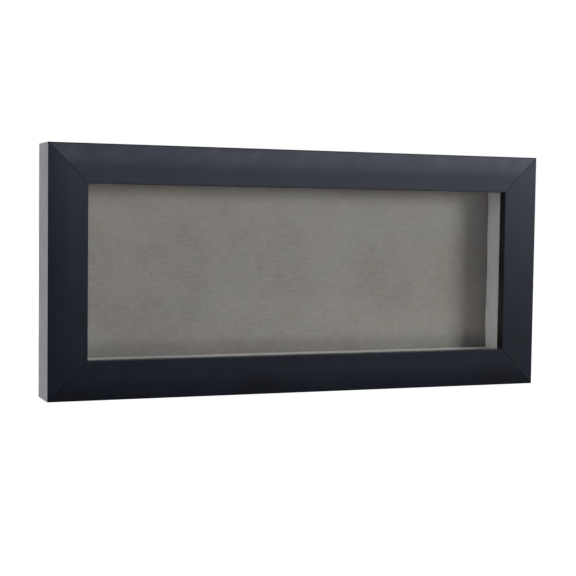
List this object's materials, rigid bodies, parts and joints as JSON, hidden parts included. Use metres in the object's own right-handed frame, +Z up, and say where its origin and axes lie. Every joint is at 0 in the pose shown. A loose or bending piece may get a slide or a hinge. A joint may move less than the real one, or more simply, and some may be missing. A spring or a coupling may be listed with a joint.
{
  "type": "shadow box",
  "caption": "Shallow wall display case: wide mitred moulding, glass front, suede-lined cavity, back panel held by turn buttons, D-ring hangers.",
  "frame": {"origin": "middle of the flat bottom face of the moulding, where the case stands on a shelf", "axes": "+X along the width to the right as seen from the front, +Y from the glazed front to the wall, +Z up"},
  "size_m": [0.528, 0.0495, 0.244],
  "materials": {
    "black_lacquer": "satin black lacquer",
    "clear_glass": "clear picture glass with an anti-reflective coating",
    "grey_suede": "warm grey synthetic suede",
    "grey_board": "uncoated mount board",
    "hardboard": "smooth-faced hardboard",
    "zinc_steel": "zinc plated",
    "screw_steel": "zinc plated",
    "button_steel": "zinc-plated sheet",
    "clear_rubber": "soft clear bumper"
  },
  "bodies": {
    "case": {"top_rail": "black_lacquer", "bottom_rail": "black_lacquer", "left_stile": "black_lacquer", "right_stile": "black_lacquer", "corner_nails": "zinc_steel", "glass": "clear_glass", "top_liner_board": "grey_board", "bottom_liner_board": "grey_board", "left_liner_board": "grey_board", "right_liner_board": "grey_board", "top_liner_suede": "grey_suede", "bottom_liner_suede": "grey_suede", "left_liner_suede": "grey_suede", "right_liner_suede": "grey_suede", "display_board": "grey_board", "display_board_suede": "grey_suede", "backing_panel": "hardboard", "turn_button_screws": "screw_steel", "left_hanger_strap": "zinc_steel", "right_hanger_strap": "zinc_steel", "hanger_screws": "screw_steel", "wall_bumpers": "clear_rubber"},
    "turn_button_top_left": {"turn_button_top_left": "button_steel"},
    "turn_button_top_right": {"turn_button_top_right": "button_steel"},
    "turn_button_bottom_left": {"turn_button_bottom_left": "button_steel"},
    "turn_button_bottom_right": {"turn_button_bottom_right": "button_steel"},
    "turn_button_left": {"turn_button_left": "button_steel"},
    "turn_button_right": {"turn_button_right": "button_steel"},
    "left_hanger_ring": {"left_hanger_ring": "zinc_steel"},
    "right_hanger_ring": {"right_hanger_ring": "zinc_steel"}
  },
  "joints": [
    {"name": "turn_button_top_left_turn", "type": "hinge", "parent": "case", "child": "turn_button_top_left", "pos_m": [-0.132, 0.0232, 0.2215], "axis": [0, 1, 0], "continuous": true},
    {"name": "turn_button_top_right_turn", "type": "hinge", "parent": "case", "child": "turn_button_top_right", "pos_m": [0.132, 0.0232, 0.2215], "axis": [0, 1, 0], "continuous": true},
    {"name": "turn_button_bottom_left_turn", "type": "hinge", "parent": "case", "child": "turn_button_bottom_left", "pos_m": [-0.132, 0.0232, 0.0225], "axis": [0, 1, 0], "continuous": true},
    {"name": "turn_button_bottom_right_turn", "type": "hinge", "parent": "case", "child": "turn_button_bottom_right", "pos_m": [0.132, 0.0232, 0.0225], "axis": [0, 1, 0], "continuous": true},
    {"name": "turn_button_left_turn", "type": "hinge", "parent": "case", "child": "turn_button_left", "pos_m": [-0.2415, 0.0232, 0.122], "axis": [0, 1, 0], "continuous": true},
    {"name": "turn_button_right_turn", "type": "hinge", "parent": "case", "child": "turn_button_right", "pos_m": [0.2415, 0.0232, 0.122], "axis": [0, 1, 0], "continuous": true},
    {"name": "left_hanger_ring_swing", "type": "hinge", "parent": "case", "child": "left_hanger_ring", "pos_m": [-0.24825, 0.02458, 0.183], "axis": [1, 0, 0], "range_deg": [0, 180]},
    {"name": "right_hanger_ring_swing", "type": "hinge", "parent": "case", "child": "right_hanger_ring", "pos_m": [0.24825, 0.02458, 0.183], "axis": [1, 0, 0], "range_deg": [0, 180]}
  ]
}
